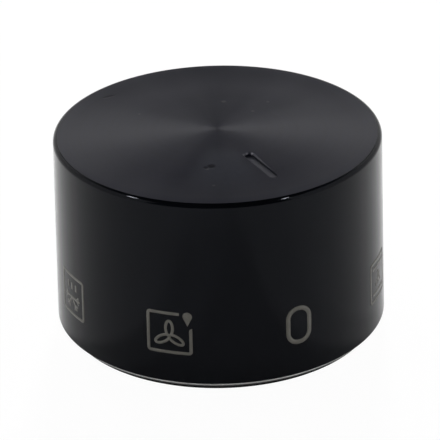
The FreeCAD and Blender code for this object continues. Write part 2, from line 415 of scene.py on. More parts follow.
def make_wrapped_print_tree():
    """Thickens drawn lines to strips of ink and wraps them round the drafted side."""
    tree, given, result = new_tree("wrapped_print", "GeometryNodeTree", [
        ("Lines", "NodeSocketGeometry"),
        ("Base Radius", "NodeSocketFloat"),
        ("Base Level", "NodeSocketFloat"),
        ("Draft", "NodeSocketFloat"),
        ("Wrap Radius", "NodeSocketFloat"),
        ("Step", "NodeSocketFloat"),
        ("Ink Thickness", "NodeSocketFloat"),
        ("Ink", "NodeSocketMaterial"),
    ], [("Print", "NodeSocketGeometry")])
    into = given.outputs

    # Strips as wide as each line's own width: their profile is 1 wide, and the wrap sets their thickness
    curve = add_node(tree, "GeometryNodeMeshToCurve", {"Mesh": into["Lines"]})
    even = add_node(tree, "GeometryNodeResampleCurve", {
        "Curve": curve.outputs[0], "Length": into["Step"]}, mode="LENGTH")
    upright = add_node(tree, "GeometryNodeSetCurveNormal", {"Curve": even.outputs[0]}, mode="Z_UP")
    profile = add_node(tree, "GeometryNodeCurvePrimitiveQuadrilateral", {"Width": 1.0, "Height": 0.1})
    width = add_node(tree, "GeometryNodeInputNamedAttribute", {"Name": LINE_WIDTH}, data_type="FLOAT")
    strip = add_node(tree, "GeometryNodeCurveToMesh", {
        "Curve": upright.outputs[0],
        "Profile Curve": profile.outputs[0],
        "Scale": width.outputs["Attribute"],
        "Fill Caps": True,
    })

    # Flat drawing to the side: X runs round it, Y up it and Z out of it
    position = add_node(tree, "GeometryNodeInputPosition").outputs[0]
    x, y, z = split(tree, position)[:3]
    angle = maths(tree, "DIVIDE", x, into["Wrap Radius"])
    lean = maths(tree, "MULTIPLY", maths(tree, "SUBTRACT", y, into["Base Level"]),
                 maths(tree, "TANGENT", into["Draft"]))
    relief = maths(tree, "MULTIPLY", maths(tree, "SIGN", z), into["Ink Thickness"])
    radius = maths(tree, "ADD", maths(tree, "SUBTRACT", into["Base Radius"], lean), relief)
    wrap = add_node(tree, "GeometryNodeSetPosition", {
        "Geometry": strip.outputs[0],
        "Position": combine(
            tree,
            maths(tree, "MULTIPLY", radius, maths(tree, "SINE", angle)),
            maths(tree, "MULTIPLY", maths(tree, "MULTIPLY", radius, maths(tree, "COSINE", angle)), -1.0),
            y),
    })
    realize = add_node(tree, "GeometryNodeRealizeInstances", {"Geometry": wrap.outputs[0]})
    coat = add_node(tree, "GeometryNodeSetMaterial", {
        "Geometry": realize.outputs[0], "Material": into["Ink"]})
    feed(tree, result.inputs["Print"], coat.outputs[0])
    return tree


def shape_with_nodes(name, points, edges, tree, values, widths=None):
    """Object whose mesh is what a tree makes of drawn points and edges."""
    drawing = bpy.data.meshes.new(name)
    drawing.from_pydata(points, edges, [])
    if widths is not None:
        drawing.attributes.new(LINE_WIDTH, "FLOAT", "POINT").data.foreach_set("value", widths)
    piece = bpy.data.objects.new(name, drawing)
    bpy.context.scene.collection.objects.link(piece)
    modifier = piece.modifiers.new(tree.name, "NODES")
    modifier.node_group = tree
    for item in tree.interface.items_tree:
        if item.in_out == "INPUT" and item.name in values:
            modifier[item.identifier] = values[item.name]
    piece.update_tag()
    depsgraph = bpy.context.evaluated_depsgraph_get()
    mesh = bpy.data.meshes.new_from_object(piece.evaluated_get(depsgraph), depsgraph=depsgraph)
    if not mesh.polygons:
        raise RuntimeError(name + ": the node tree made no faces")
    piece.modifiers.clear()
    piece.data = mesh
    mesh.name = name
    bpy.data.meshes.remove(drawing)
    return piece


# Shader node groups

# Parts of a noise's values that are spread out: nearly all of them, or the middle for clearer patches
NOISE_RANGE = (0.3, 0.7)
PATCH_RANGE = (0.35, 0.65)


def make_surface_wear_group():
    """Soft patches from handling and a fine grain, both from 0 to 1."""
    tree, given, result = new_tree("surface_wear", "ShaderNodeTree", [
        ("Position", "NodeSocketVector"),
        ("Patch Scale", "NodeSocketFloat"),
        ("Grain Scale", "NodeSocketFloat"),
    ], [("Patches", "NodeSocketFloat"), ("Grain", "NodeSocketFloat")])
    into = given.outputs
    patches = add_node(tree, "ShaderNodeTexNoise", {
        "Vector": into["Position"], "Scale": into["Patch Scale"], "Detail": 3.0})
    grain = add_node(tree, "ShaderNodeTexNoise", {
        "Vector": into["Position"], "Scale": into["Grain Scale"], "Detail": 2.0})
    feed(tree, result.inputs["Patches"], spread(tree, patches.outputs[0], *PATCH_RANGE, 0.0, 1.0))
    feed(tree, result.inputs["Grain"], grain.outputs[0])
    return tree


def make_turning_lines_group():
    """Fine rings round the axis, as a turning tool leaves them, and soft rays from it, from 0 to 1."""
    tree, given, result = new_tree("turning_lines", "ShaderNodeTree", [
        ("Position", "NodeSocketVector"),
        ("Spacing", "NodeSocketFloat"),
    ], [("Lines", "NodeSocketFloat"), ("Bands", "NodeSocketFloat"), ("Rays", "NodeSocketFloat")])
    x, y, z = split(tree, given.outputs["Position"])[:3]
    flat = combine(tree, x, y, 0.0)
    across = vector_maths(tree, "LENGTH", flat)
    along = maths(tree, "DIVIDE", maths(tree, "ADD", across, z), given.outputs["Spacing"])
    lines = add_node(tree, "ShaderNodeTexNoise", {
        "W": along, "Scale": 1.0, "Detail": 2.0}, noise_dimensions="1D")
    bands = add_node(tree, "ShaderNodeTexNoise", {
        "W": along, "Scale": 0.09, "Detail": 2.0}, noise_dimensions="1D")
    rays = add_node(tree, "ShaderNodeTexNoise", {
        "Vector": vector_maths(tree, "NORMALIZE", flat), "Scale": 3.0, "Detail": 1.0})
    feed(tree, result.inputs["Rays"], spread(tree, rays.outputs[0], *PATCH_RANGE, 0.0, 1.0))
    feed(tree, result.inputs["Lines"], spread(tree, lines.outputs[0], *NOISE_RANGE, 0.0, 1.0))
    feed(tree, result.inputs["Bands"], spread(tree, bands.outputs[0], *NOISE_RANGE, 0.0, 1.0))
    return tree


# Share of a mark's size at which it begins to fade
MARK_CORE = 0.55


def make_small_mark_group():
    """Soft spot round a point, drawn out along one direction, from 0 to 1."""
    tree, given, result = new_tree("small_mark", "ShaderNodeTree", [
        ("Position", "NodeSocketVector"),
        ("Centre", "NodeSocketVector"),
        ("Stretch", "NodeSocketVector"),
        ("Size", "NodeSocketFloat"),
    ], [("Mark", "NodeSocketFloat")])
    away = vector_maths(tree, "SUBTRACT", given.outputs["Position"], given.outputs["Centre"])
    far = vector_maths(tree, "LENGTH", vector_maths(tree, "MULTIPLY", away, given.outputs["Stretch"]))
    share = maths(tree, "DIVIDE", far, given.outputs["Size"])
    feed(tree, result.inputs["Mark"], spread(tree, share, MARK_CORE, 1.0, 1.0, 0.0))
    return tree


def use_group(tree, group, **values):
    """Outputs of a node group placed in a material, with its own values."""
    node = add_node(tree, "ShaderNodeGroup", node_tree=group)
    for name, value in values.items():
        feed(tree, node.inputs[name.replace("_", " ").title()], value)
    return node.outputs


def shared_group(name, make):
    """The shader group of this name, built the first time that it is asked for."""
    return bpy.data.node_groups.get(name) or make()


def surface_wear(tree, position, patch_scale, grain_scale):
    """Patches and Grain of the surface_wear group."""
    group = shared_group("surface_wear", make_surface_wear_group)
    return use_group(tree, group, position=position, patch_scale=patch_scale, grain_scale=grain_scale)


def turning_lines(tree, position, spacing):
    """Lines, Bands and Rays of the turning_lines group."""
    group = shared_group("turning_lines", make_turning_lines_group)
    return use_group(tree, group, position=position, spacing=spacing)


def small_mark(tree, position, centre, stretch, size):
    """Mark of the small_mark group."""
    group = shared_group("small_mark", make_small_mark_group)
    return use_group(tree, group, position=position, centre=centre, stretch=stretch, size=size)["Mark"]


# Materials

def new_material(name):
    """Material with its tree, shader node and Object coordinates."""
    material = bpy.data.materials.new(name)
    material.use_nodes = True
    tree = material.node_tree
    shader = tree.nodes["Principled BSDF"]
    position = add_node(tree, "ShaderNodeTexCoord").outputs["Object"]
    return material, tree, shader, position


def blend_colours(tree, share, first, second):
    """Colour between two colours."""
    node = add_node(tree, "ShaderNodeMix", data_type="RGBA")
    feed(tree, node.inputs[0], share)
    for socket, colour in zip(node.inputs[6:8], (first, second)):
        feed(tree, socket, colour if isinstance(colour, bpy.types.NodeSocket) else (*colour, 1.0))
    return node.outputs[2]


def shade(colour, factor):
    """A colour made darker or lighter."""
    return tuple(min(1.0, part * factor) for part in colour)


def uneven(tree, share, colour, darkest, lightest):
    """A colour that runs between a darker and a lighter shade of itself."""
    return blend_colours(tree, share, shade(colour, darkest), shade(colour, lightest))


def between(tree, share, low, high):
    """Value from low to high, by a share from 0 to 1."""
    return spread(tree, share, 0.0, 1.0, low, high)


def add_bump(tree, shader, height, strength, distance):
    """Bump from a height, on the shader's normal."""
    bump = add_node(tree, "ShaderNodeBump", {"Strength": strength, "Distance": distance, "Height": height})
    feed(tree, shader.inputs["Normal"], bump.outputs[0])


# The rounded rim is smoother than the side: the fade below it, and the share of roughness that it keeps
RIM_FADE = 0.1 * MM
RIM_ROUGHNESS_SHARE = 0.45


def make_side_finish(settings):
    """Gloss black coat of the shell's side."""
    material, tree, shader, position = new_material("gloss_black_coat")
    wear = surface_wear(tree, position, patch_scale=120.0, grain_scale=2600.0)
    rim_low = settings.rim_level - settings.edge_radius
    polish = spread(tree, split(tree, position)["Z"], rim_low - RIM_FADE, rim_low, 1.0, RIM_ROUGHNESS_SHARE)
    shader.inputs["IOR"].default_value = 1.21
    shader.inputs["Specular Tint"].default_value = (0.86, 0.90, 1.0, 1.0)
    feed(tree, shader.inputs["Base Color"], uneven(tree, wear["Patches"], settings.coat_colour, 0.8, 1.25))
    feed(tree, shader.inputs["Roughness"], maths(
        tree, "MULTIPLY", between(tree, wear["Patches"], 0.10, 0.17), polish))
    add_bump(tree, shader, wear["Grain"], strength=0.03, distance=0.02 * MM)
    return material


def make_groove_finish(settings):
    """Coat in the pointer groove, a little rougher than on the side."""
    material, tree, shader, position = new_material("groove_black_coat")
    wear = surface_wear(tree, position, patch_scale=500.0, grain_scale=4000.0)
    shader.inputs["IOR"].default_value = 1.5
    shader.inputs["Specular Tint"].default_value = (0.90, 0.89, 1.0, 1.0)
    feed(tree, shader.inputs["Base Color"], uneven(tree, wear["Patches"], settings.spun_colour, 0.8, 1.25))
    feed(tree, shader.inputs["Roughness"], between(tree, wear["Patches"], 0.37, 0.44))
    add_bump(tree, shader, wear["Grain"], strength=0.05, distance=0.02 * MM)
    return material


# Small marks on the top: place in millimetres, squeeze along X and Y as a factor, and size in millimetres
TOP_DENTS = (
    ((-5.61, -9.16), (1.0, 1.0), 0.62),
    ((-6.41, -9.18), (1.3, 1.0), 0.45),
    ((-7.44, 16.61), (0.45, 1.6), 0.50),
)
TOP_SPECKS = (
    ((4.66, 7.04), (1.0, 1.0), 0.40),
    ((6.52, 2.47), (1.0, 1.0), 0.30),
    ((9.66, 4.20), (1.0, 1.0), 0.26),
    ((-6.56, 9.30), (1.0, 1.0), 0.22),
    ((-6.34, -9.62), (1.0, 1.0), 0.24),
    ((-7.68, -13.78), (1.0, 1.0), 0.26),
)

# Painted highlight beside the groove, a paler fan of colour where the spun top's sheen falls towards the
# camera:
# direction of its middle from the axis, and where it fades in and out, by the cosine of the angle from that
# direction and by the distance from the axis
HIGHLIGHT_FAN_WAY = (-0.407, -0.913, 0.0)
HIGHLIGHT_FAN_SIDES = (0.93, 0.995)
HIGHLIGHT_FAN_INNER_END = (4.5 * MM, 8.5 * MM)
HIGHLIGHT_FAN_OUTER_END = (13.0 * MM, 18.5 * MM)


def join_marks(tree, position, marks):
    """All the marks of a list, from 0 to 1."""
    joined = None
    for (x, y), stretch, size in marks:
        mark = small_mark(tree, position, (x * MM, y * MM, 0.0), (*stretch, 0.0), size * MM)
        joined = mark if joined is None else maths(tree, "MAXIMUM", joined, mark)
    return joined


def make_top_finish(settings):
    """Black top with fine rings from spinning, a painted highlight in a fan beside the groove, and a few
    small marks.
    """
    material, tree, shader, position = new_material("spun_black_top")
    wear = surface_wear(tree, position, patch_scale=90.0, grain_scale=1500.0)
    rings = turning_lines(tree, position, spacing=0.06 * MM)
    dents = join_marks(tree, position, TOP_DENTS)
    specks = join_marks(tree, position, TOP_SPECKS)
    x, y = split(tree, position)[:2]
    flat = combine(tree, x, y, 0.0)
    outward = vector_maths(tree, "NORMALIZE", flat)
    across = vector_maths(tree, "LENGTH", flat)
    feed(tree, shader.inputs["Tangent"], outward)
    shader.inputs["IOR"].default_value = 1.285
    shader.inputs["Specular Tint"].default_value = (0.90, 0.87, 1.0, 1.0)
    shader.inputs["Anisotropic"].default_value = 0.9

    # Colour: rings, the painted highlight fan, dents and specks, one over the other
    tone = maths(tree, "MULTIPLY", rings["Lines"], rings["Bands"])
    spun = uneven(tree, tone, settings.spun_colour, 0.7, 1.5)
    # Painted highlight: a paler fan towards the camera, where the spun top's sheen falls
    along = vector_maths(tree, "DOT_PRODUCT", outward, HIGHLIGHT_FAN_WAY)
    painted_fan = maths(tree, "MULTIPLY", spread(tree, along, *HIGHLIGHT_FAN_SIDES, 0.0, 1.0, smooth=True), maths(
        tree, "MULTIPLY", spread(tree, across, *HIGHLIGHT_FAN_INNER_END, 0.0, 1.0, smooth=True),
        spread(tree, across, *HIGHLIGHT_FAN_OUTER_END, 1.0, 0.0, smooth=True)))
    painted_fan = maths(tree, "MULTIPLY", painted_fan, spread(tree, wear["Grain"], *NOISE_RANGE, 0.6, 1.0))
    with_painted_fan = blend_colours(tree, painted_fan, spun, settings.painted_fan_highlight_colour)
    dented = blend_colours(tree, dents, with_painted_fan, shade(settings.spun_colour, 0.5))
    feed(tree, shader.inputs["Base Color"], blend_colours(tree, specks, dented, settings.speck_colour))

    # Roughness and relief: the dents are rougher and sunk, the specks stand up
    rough = maths(tree, "ADD", between(tree, wear["Patches"], 0.32, 0.35),
                  between(tree, rings["Rays"], 0.0, 0.02))
    feed(tree, shader.inputs["Roughness"], maths(tree, "ADD", rough, between(tree, dents, 0.0, 0.08)))
    height = maths(tree, "SUBTRACT", between(tree, rings["Lines"], 0.0, 0.02), dents)
    height = maths(tree, "ADD", height, between(tree, specks, 0.0, 0.2))
    add_bump(tree, shader, height, strength=0.25, distance=0.06 * MM)
    return material


def make_edge_finish(settings):
    """Bare metal of the cut lower edge, with turning lines."""
    material, tree, shader, position = new_material("bare_cut_edge")
    wear = surface_wear(tree, position, patch_scale=160.0, grain_scale=2500.0)
    rings = turning_lines(tree, position, spacing=0.04 * MM)
    shader.inputs["Metallic"].default_value = 1.0
    feed(tree, shader.inputs["Base Color"], uneven(tree, wear["Patches"], settings.bare_colour, 0.85, 1.1))
    feed(tree, shader.inputs["Roughness"], between(tree, rings["Lines"], 0.5, 0.65))
    add_bump(tree, shader, rings["Lines"], strength=0.1, distance=0.01 * MM)
    return material


def make_ink_finish(settings):
    """Matt warm grey ink, a little uneven."""
    material, tree, shader, position = new_material("warm_grey_ink")
    wear = surface_wear(tree, position, patch_scale=900.0, grain_scale=9000.0)
    shader.inputs["IOR"].default_value = 1.55
    feed(tree, shader.inputs["Base Color"], uneven(tree, wear["Patches"], settings.colour, 0.9, 1.1))
    feed(tree, shader.inputs["Roughness"], spread(tree, wear["Grain"], *NOISE_RANGE, 0.45, 0.6))
    add_bump(tree, shader, wear["Grain"], strength=0.1, distance=0.01 * MM)
    return material


def make_core_finish(settings):
    """Fine matt moulded plastic."""
    material, tree, shader, position = new_material("moulded_black_plastic")
    wear = surface_wear(tree, position, patch_scale=110.0, grain_scale=3200.0)
    shader.inputs["IOR"].default_value = 1.22
    feed(tree, shader.inputs["Base Color"], uneven(tree, wear["Patches"], settings.core_colour, 0.8, 1.3))
    feed(tree, shader.inputs["Roughness"], between(tree, wear["Patches"], 0.5, 0.65))
    add_bump(tree, shader, wear["Grain"], strength=0.35, distance=0.03 * MM)
    return material


# Noise steps in a metre across the clip's strip and along it
ROLLED_LINES = (9000.0, 400.0, 400.0)


def make_clip_finish(settings):
    """Rolled spring steel with fine lines along the strip."""
    material, tree, shader, position = new_material("rolled_spring_steel")
    wear = surface_wear(tree, position, patch_scale=300.0, grain_scale=5000.0)
    rolled = add_node(tree, "ShaderNodeTexNoise", {
        "Vector": vector_maths(tree, "MULTIPLY", position, ROLLED_LINES), "Scale": 1.0})
    shader.inputs["Metallic"].default_value = 1.0
    feed(tree, shader.inputs["Base Color"], uneven(tree, wear["Patches"], settings.clip_colour, 0.8, 1.1))
    feed(tree, shader.inputs["Roughness"], spread(tree, rolled.outputs[0], *NOISE_RANGE, 0.25, 0.4))
    add_bump(tree, shader, rolled.outputs[0], strength=0.15, distance=0.01 * MM)
    return material


# Shell

# Steps of the section's arcs, and the step below the rounded edge that keeps the side's shading straight
CORNER_STEPS = 6
EDGE_STEPS = 16
CROWN_STEPS = 12
EDGE_SUPPORT = 0.06 * MM


def arc(centre, radius, start, stop, steps):
    """Points of an arc, between two angles in radians."""
    angles = [start + (stop - start) * step / steps for step in range(steps + 1)]
    return [(centre[0] + radius * math.cos(a), centre[1] + radius * math.sin(a)) for a in angles]


def side_radius(settings, level):
    """Radius of the shell's side at a level."""
    return settings.diameter / 2 - (level - settings.low_level - settings.bevel) * math.tan(settings.draft)


def crown_slope(settings):
    """Steepest slope of the crown, where its two arcs meet."""
    return 2 * math.atan(settings.crown / settings.crown_radius)


def crown_outline(settings):
    """Outline of the crowned top as (radius, level), from its flat rim in to its middle."""
    slope = crown_slope(settings)
    outer = (settings.crown_radius - settings.crown_turn_radius) / math.sin(slope)
    inner = settings.crown_turn_radius / math.sin(slope)
    foot_turns = [slope * step / CROWN_STEPS for step in range(CROWN_STEPS)]
    dome_turns = [slope * step / (2 * CROWN_STEPS) for step in range(2 * CROWN_STEPS, -1, -1)]
    foot = [(settings.crown_radius - outer * math.sin(turn),
             settings.rim_level + outer * (1 - math.cos(turn))) for turn in foot_turns]
    dome = [(inner * math.sin(turn),
             settings.rim_level + settings.crown - inner * (1 - math.cos(turn))) for turn in dome_turns]
    return foot + dome


def crown_level(settings, radius):
    """Level of the top at a radius within the crown's turn."""
    inner = settings.crown_turn_radius / math.sin(crown_slope(settings))
    return settings.rim_level + settings.crown - inner + math.sqrt(inner ** 2 - radius ** 2)


def shell_section(settings):
    """Section of the shell as (radius, level), from the middle of its ceiling to the middle of its top."""
    lean = 1 / math.cos(settings.draft)
    low = settings.low_level
    top = settings.rim_level
    ceiling = top - settings.top_thickness

    def inner(level):
        return side_radius(settings, level) - settings.wall

    corner_level = ceiling - settings.corner_radius
    corner = (inner(corner_level) - settings.corner_radius * lean, corner_level)
    half = settings.bead_width / 2
    crest = inner(settings.bead_level) + settings.bead_depth
    edge_level = top - settings.edge_radius
    edge = (side_radius(settings, edge_level) - settings.edge_radius * lean, edge_level)
    foot = side_radius(settings, low + settings.bevel) - settings.bevel
    side_top = edge_level - EDGE_SUPPORT
    return [
        (0.0, ceiling),
        *arc(corner, settings.corner_radius, math.pi / 2, settings.draft, CORNER_STEPS),
        (inner(settings.bead_level + half), settings.bead_level + half),
        (crest, settings.bead_level + half - settings.bead_depth),
        (crest, settings.bead_level - half + settings.bead_depth),
        (inner(settings.bead_level - half), settings.bead_level - half),
        (inner(low), low),
        (foot, low),
        (foot + settings.bare_low, low + settings.bare_low),
        (foot + settings.bare_high, low + settings.bare_high),
        (foot + settings.bevel, low + settings.bevel),
        (side_radius(settings, side_top), side_top),
        *arc(edge, settings.edge_radius, settings.draft, math.pi / 2, EDGE_STEPS),
        *crown_outline(settings),
    ]


class KNOB_OT_add_shell(bpy.types.Operator):
    """Turn the black shell, cut its pointer groove and give it its finishes"""

    bl_idname = "knob.add_shell"
    bl_label = "Shell"

    def execute(self, context):
        settings = context.scene.knob_shell
        section = [(radius, 0.0, level) for radius, level in shell_section(settings)]
        edges = [(i, i + 1) for i in range(len(section) - 1)]
        groove_middle = (settings.groove_inner_end + settings.groove_outer_end) / 2
        shell = shape_with_nodes("knob_shell", section, edges, make_turned_shell_tree(), {
            "Segments": settings.segments,
            "Rim Level": settings.rim_level,
            "Bare Low": settings.low_level + settings.bare_low,
            "Bare High": settings.low_level + settings.bare_high,
            "Groove Inner End": settings.groove_inner_end,
            "Groove Outer End": settings.groove_outer_end,
            "Groove Width": settings.groove_width,
            "Groove Depth": settings.groove_depth,
            "Groove Bevel": settings.groove_bevel,
            "Groove Level": crown_level(settings, groove_middle),
            "Side Finish": make_side_finish(settings),
            "Top Finish": make_top_finish(settings),
            "Groove Finish": make_groove_finish(settings),
            "Edge Finish": make_edge_finish(settings),
        })
        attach(shell, "root")
        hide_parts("shell")
        return {"FINISHED"}


# Printed number and symbols, drawn flat in metres about their own middle.
# A symbol is a list of strokes, each with its points, its width at each point, and whether it is closed.

LOOP_CORNER_STEPS = 8
PETAL_STEPS = 36
DROP_STEPS = 12
PRINT_STEP = 0.1 * MM
POINTED_WIDTH = 0.04 * MM
FRAME_CORNER = 0.29 * MM
NUMBER_CORNER = 1.38 * MM


def straight(start, stop, width):
    """One straight line."""
    return [start, stop], [width, width], False


def direction(degrees):
    """Unit vectors along a direction and to the left of it."""
    along = Vector((math.cos(math.radians(degrees)), math.sin(math.radians(degrees))))
    return along, Vector((-along.y, along.x))


def rounded_loop(width, height, radius):
    """Points of a rectangle with rounded corners, anticlockwise from its right side."""
    points = []
    for x, y, start in ((1, 1, 0.0), (-1, 1, 0.5), (-1, -1, 1.0), (1, -1, 1.5)):
        centre = (x * (width / 2 - radius), y * (height / 2 - radius))
        points += arc(centre, radius, start * math.pi, (start + 0.5) * math.pi, LOOP_CORNER_STEPS)
    return points


def closed_frame(p):
    """A symbol's square frame."""
    points = rounded_loop(p.frame_width - p.line, p.frame_height - p.line, FRAME_CORNER)
    return [(points, [p.line] * len(points), True)]


def open_frame(p):
    """A square frame that is open at its top right corner and ends there in a slanted tip."""
    top_end = 0.223 * p.frame_width
    side_end = 0.145 * p.frame_height
    tip_length = 0.28 * MM
    tip_side = 0.45 * p.line
    tip_width = 0.1 * p.line
    right = (p.frame_width - p.line) / 2
    top = (p.frame_height - p.line) / 2
    loop = rounded_loop(2 * right, 2 * top, FRAME_CORNER)[LOOP_CORNER_STEPS + 1:]
    points = [(top_end, top)] + loop + [(right, side_end - tip_length), (right + tip_side, side_end)]
    widths = [p.line] * (len(points) - 1) + [tip_width]
    return [(points, widths, False)]


def drop(x, top, width, height):
    """A solid drop with its point down."""
    radius = width / 2
    middle = top - radius
    tip = top - height
    lean = math.asin(radius / (middle - tip))
    points, widths = [], []
    for step in range(DROP_STEPS + 1):
        angle = math.pi / 2 - step / DROP_STEPS * (math.pi / 2 + lean)
        points.append((x, middle + radius * math.sin(angle)))
        widths.append(max(2 * radius * math.cos(angle), POINTED_WIDTH))
    points.append((x, tip))
    widths.append(POINTED_WIDTH)
    return [(points, widths, False)]


def petal_fan(y, length, width, line):
    """Three outlined petals round a middle point."""
    strokes = []
    reach = (length - line / 2) / 2
    half = (width - line) / 2
    for turn in (90, 210, 330):
        along, across = direction(turn)
        points = []
        for step in range(PETAL_STEPS):
            angle = 2 * math.pi * step / PETAL_STEPS
            point = along * reach * (1 - math.cos(angle)) + across * half * math.sin(angle)
            points.append((point.x, point.y + y))
        strokes.append((points, [line] * len(points), True))
    return strokes


def bar(p, y):
    """A level bar inside the frame."""
    margin = 0.84 * MM
    half = p.frame_width / 2 - margin
    return [straight((-half, y), (half, y), p.line)]


def top_bar(p):
    """The bar under the frame's top."""
    margin = 1.09 * MM
    return bar(p, p.frame_height / 2 - margin)


def low_bar(p):
    """The bar over the frame's base."""
    margin = 1.14 * MM
    return bar(p, margin - p.frame_height / 2)


def zigzag(p):
    """A zigzag line under the frame's top."""
    side_margin = 0.9 * MM
    top_margin = 0.95 * MM
    depth = 0.95 * MM
    turns = 8
    half = p.frame_width / 2 - side_margin
    high = p.frame_height / 2 - top_margin
    points = [(half * (2 * step / turns - 1), high - depth * (step % 2)) for step in range(turns + 1)]
    return [(points, [0.9 * p.line] * len(points), False)]


def snow_star(p, y):
    """The lower arms of a snow star, with forked tips."""
    arm = 1.95 * MM
    arm_to_fork = 1.2 * MM
    fork_reach = 0.5 * MM
    middle = Vector((0.0, y))
    strokes = []
    for turn in (0, 180, 228, 312):
        along, across = direction(turn)
        fork = middle + along * arm_to_fork
        strokes.append(straight(tuple(middle), tuple(middle + along * arm), 0.85 * p.line))
        for side in (-1, 1):
            end = fork + (along + across * side) * fork_reach
            strokes.append(straight(tuple(fork), tuple(end), 0.8 * p.line))
    return strokes


def number_nought(p):
    """The number of the off position."""
    points = rounded_loop(p.number_width - p.number_line, p.number_height - p.number_line, NUMBER_CORNER)
    return [(points, [p.number_line] * len(points), True)]


def steam_and_fan(p):
    """A large fan in a frame with a drop in its open corner."""
    width = 1.22 * MM
    rise = 0.18 * MM
    fan = petal_fan(y=-0.42 * MM, length=2.28 * MM, width=1.29 * MM, line=0.9 * p.line)
    water = drop(x=(p.frame_width - width) / 2, top=p.frame_height / 2 + rise, width=width, height=1.98 * MM)
    return open_frame(p) + fan + water


def thaw(p):
    """Three falling lines over a snow star."""
    spacing = 1.05 * MM
    high, low = 1.75 * MM, 0.8 * MM
    rain = [straight((x, high), (x, low), p.line) for x in (-spacing, 0.0, spacing)]
    return closed_frame(p) + snow_star(p, y=-0.35 * MM) + rain


def two_bars(p):
    """Heat from above and below."""
    return closed_frame(p) + top_bar(p) + low_bar(p)


def fan_between_bars(p):
    """Heat from above and below, with a small fan."""
    return two_bars(p) + petal_fan(y=-0.2 * MM, length=1.25 * MM, width=0.8 * MM, line=0.7 * p.line)


def grill(p):
    """Heat of the grill."""
    return closed_frame(p) + zigzag(p)


def grill_and_fan(p):
    """Heat of the grill, with a fan."""
    return grill(p) + petal_fan(y=-0.85 * MM, length=1.6 * MM, width=0.95 * MM, line=0.8 * p.line)


def lower_heat(p):
    """Heat from below."""
    return closed_frame(p) + low_bar(p)


# Degrees round the side from the pointer groove, anticlockwise as seen from above
SYMBOLS = (
    (0, number_nought),
    (45, fan_between_bars),
    (90, two_bars),
    (135, grill),
    (180, grill_and_fan),
    (225, lower_heat),
    (270, thaw),
    (315, steam_and_fan),
)


class KNOB_OT_add_print(bpy.types.Operator):
    """Draw the number and the symbols and wrap them round the shell's side"""

    bl_idname = "knob.add_print"
    bl_label = "Printed Symbols"

    def execute(self, context):
        settings = context.scene.knob_print
        shell = context.scene.knob_shell
        wrap_radius = side_radius(shell, settings.level)
        points, edges, widths = [], [], []
        for degrees, draw in SYMBOLS:
            along = math.radians(degrees) * wrap_radius
            for stroke, stroke_widths, closed in draw(settings):
                first = len(points)
                points += [(x + along, y + settings.level, 0.0) for x, y in stroke]
                widths += stroke_widths
                edges += [(first + i, first + i + 1) for i in range(len(stroke) - 1)]
                if closed:
                    edges.append((first + len(stroke) - 1, first))
        symbols = shape_with_nodes("printed_symbols", points, edges, make_wrapped_print_tree(), {
            "Base Radius": shell.diameter / 2,
            "Base Level": shell.low_level + shell.bevel,
            "Draft": shell.draft,
            "Wrap Radius": wrap_radius,
            "Step": PRINT_STEP,
            "Ink Thickness": settings.ink,
            "Ink": make_ink_finish(settings),
        }, widths)
        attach(symbols, "root")
        return {"FINISHED"}


# Core and clip keep their solids and get their finishes

def finish_node(node, material):
    """Gives a solid of the frame its material."""
    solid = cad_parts[node]
    solid.data.materials.clear()
    solid.data.materials.append(material)


class KNOB_OT_finish_core(bpy.types.Operator):
    """Give the moulded core its plastic finish"""

    bl_idname = "knob.finish_core"
    bl_label = "Core Finish"

    def execute(self, context):
        finish_node("core", make_core_finish(context.scene.knob_inside))
        return {"FINISHED"}


class KNOB_OT_finish_clip(bpy.types.Operator):
    """Give the spring clip its steel finish"""

    bl_idname = "knob.finish_clip"
    bl_label = "Clip Finish"

    def execute(self, context):
        finish_node("shaft_clip", make_clip_finish(context.scene.knob_inside))
        return {"FINISHED"}


# Stage, placed as the camera sees it: to the right, away from the camera and up, in metres

UP = Vector((0.0, 0.0, 1.0))

# Paper: half its width, its front and back, the radius of its sweep, and how far it lies below the foot
PAPER_HALF = 1.6
PAPER_FRONT = -1.6
PAPER_BACK = 0.9
PAPER_SWEEP = 0.25
PAPER_SWEEP_STEPS = 12
PAPER_DROP = 0.02 * MM

# Share of plain white in the paper, the rest of which is lit and keeps the knob's shadow: as the camera
# sees it, and in reflections, where it grows between two distances from the knob
SEEN_WHITE = 0.96
MIRRORED_WHITE = 0.85
MIRRORED_FROM, MIRRORED_TO = 0.06, 0.25

# Strength of the room in reflections that miss the paper and the cards
MIRRORED_ROOM = 0.02

# Cards: the two ends of the base, and the height as a share of the card height
CARDS = (
    ("left_card", (-0.9, -0.8), (-0.9, 0.9), 1.0),
    ("right_card", (0.9, -0.8), (0.9, 0.9), 1.0),
    ("left_back_card", (-0.9, 0.88), (-0.28, 0.88), 0.8),
    ("right_back_card", (0.28, 0.88), (0.9, 0.88), 0.8),
)

# Lamps: place as a share of the lamp distance, size, the setting of their power with the share of it
# that they have, and whether they are seen only in reflections
LAMP_DISTANCE = 0.85
LAMPS = (
    ("left_lamp", (-0.61, -0.12, 0.783), (0.09, 0.045), "side_power", 1.0, True),
    ("right_lamp", (0.479, -0.221, 0.850), (0.05, 0.045), "side_power", 0.6, True),
    ("back_lamp", (0.060, 0.891, 0.450), (0.12, 0.12), "back_power", 1.0, False),
    ("back_left_lamp", (-0.352, 0.872, 0.342), (0.10, 0.10), "back_power", 0.45, False),
    ("left_wide_lamp", (-0.760, 0.410, 0.500), (0.60, 0.25), "back_power", 0.2, False),
    ("right_wide_lamp", (0.680, 0.540, 0.500), (0.60, 0.25), "back_power", 0.25, False),
    ("front_lamp", (0.0, -0.906, 0.423), (0.40, 0.40), "front_power", 1.0, False),
)


def view_axes(settings):
    """Directions to the right and away from the camera, along the floor."""
    cosine, sine = math.cos(settings.azimuth), math.sin(settings.azimuth)
    return Vector((cosine, sine, 0.0)), Vector((-sine, cosine, 0.0))


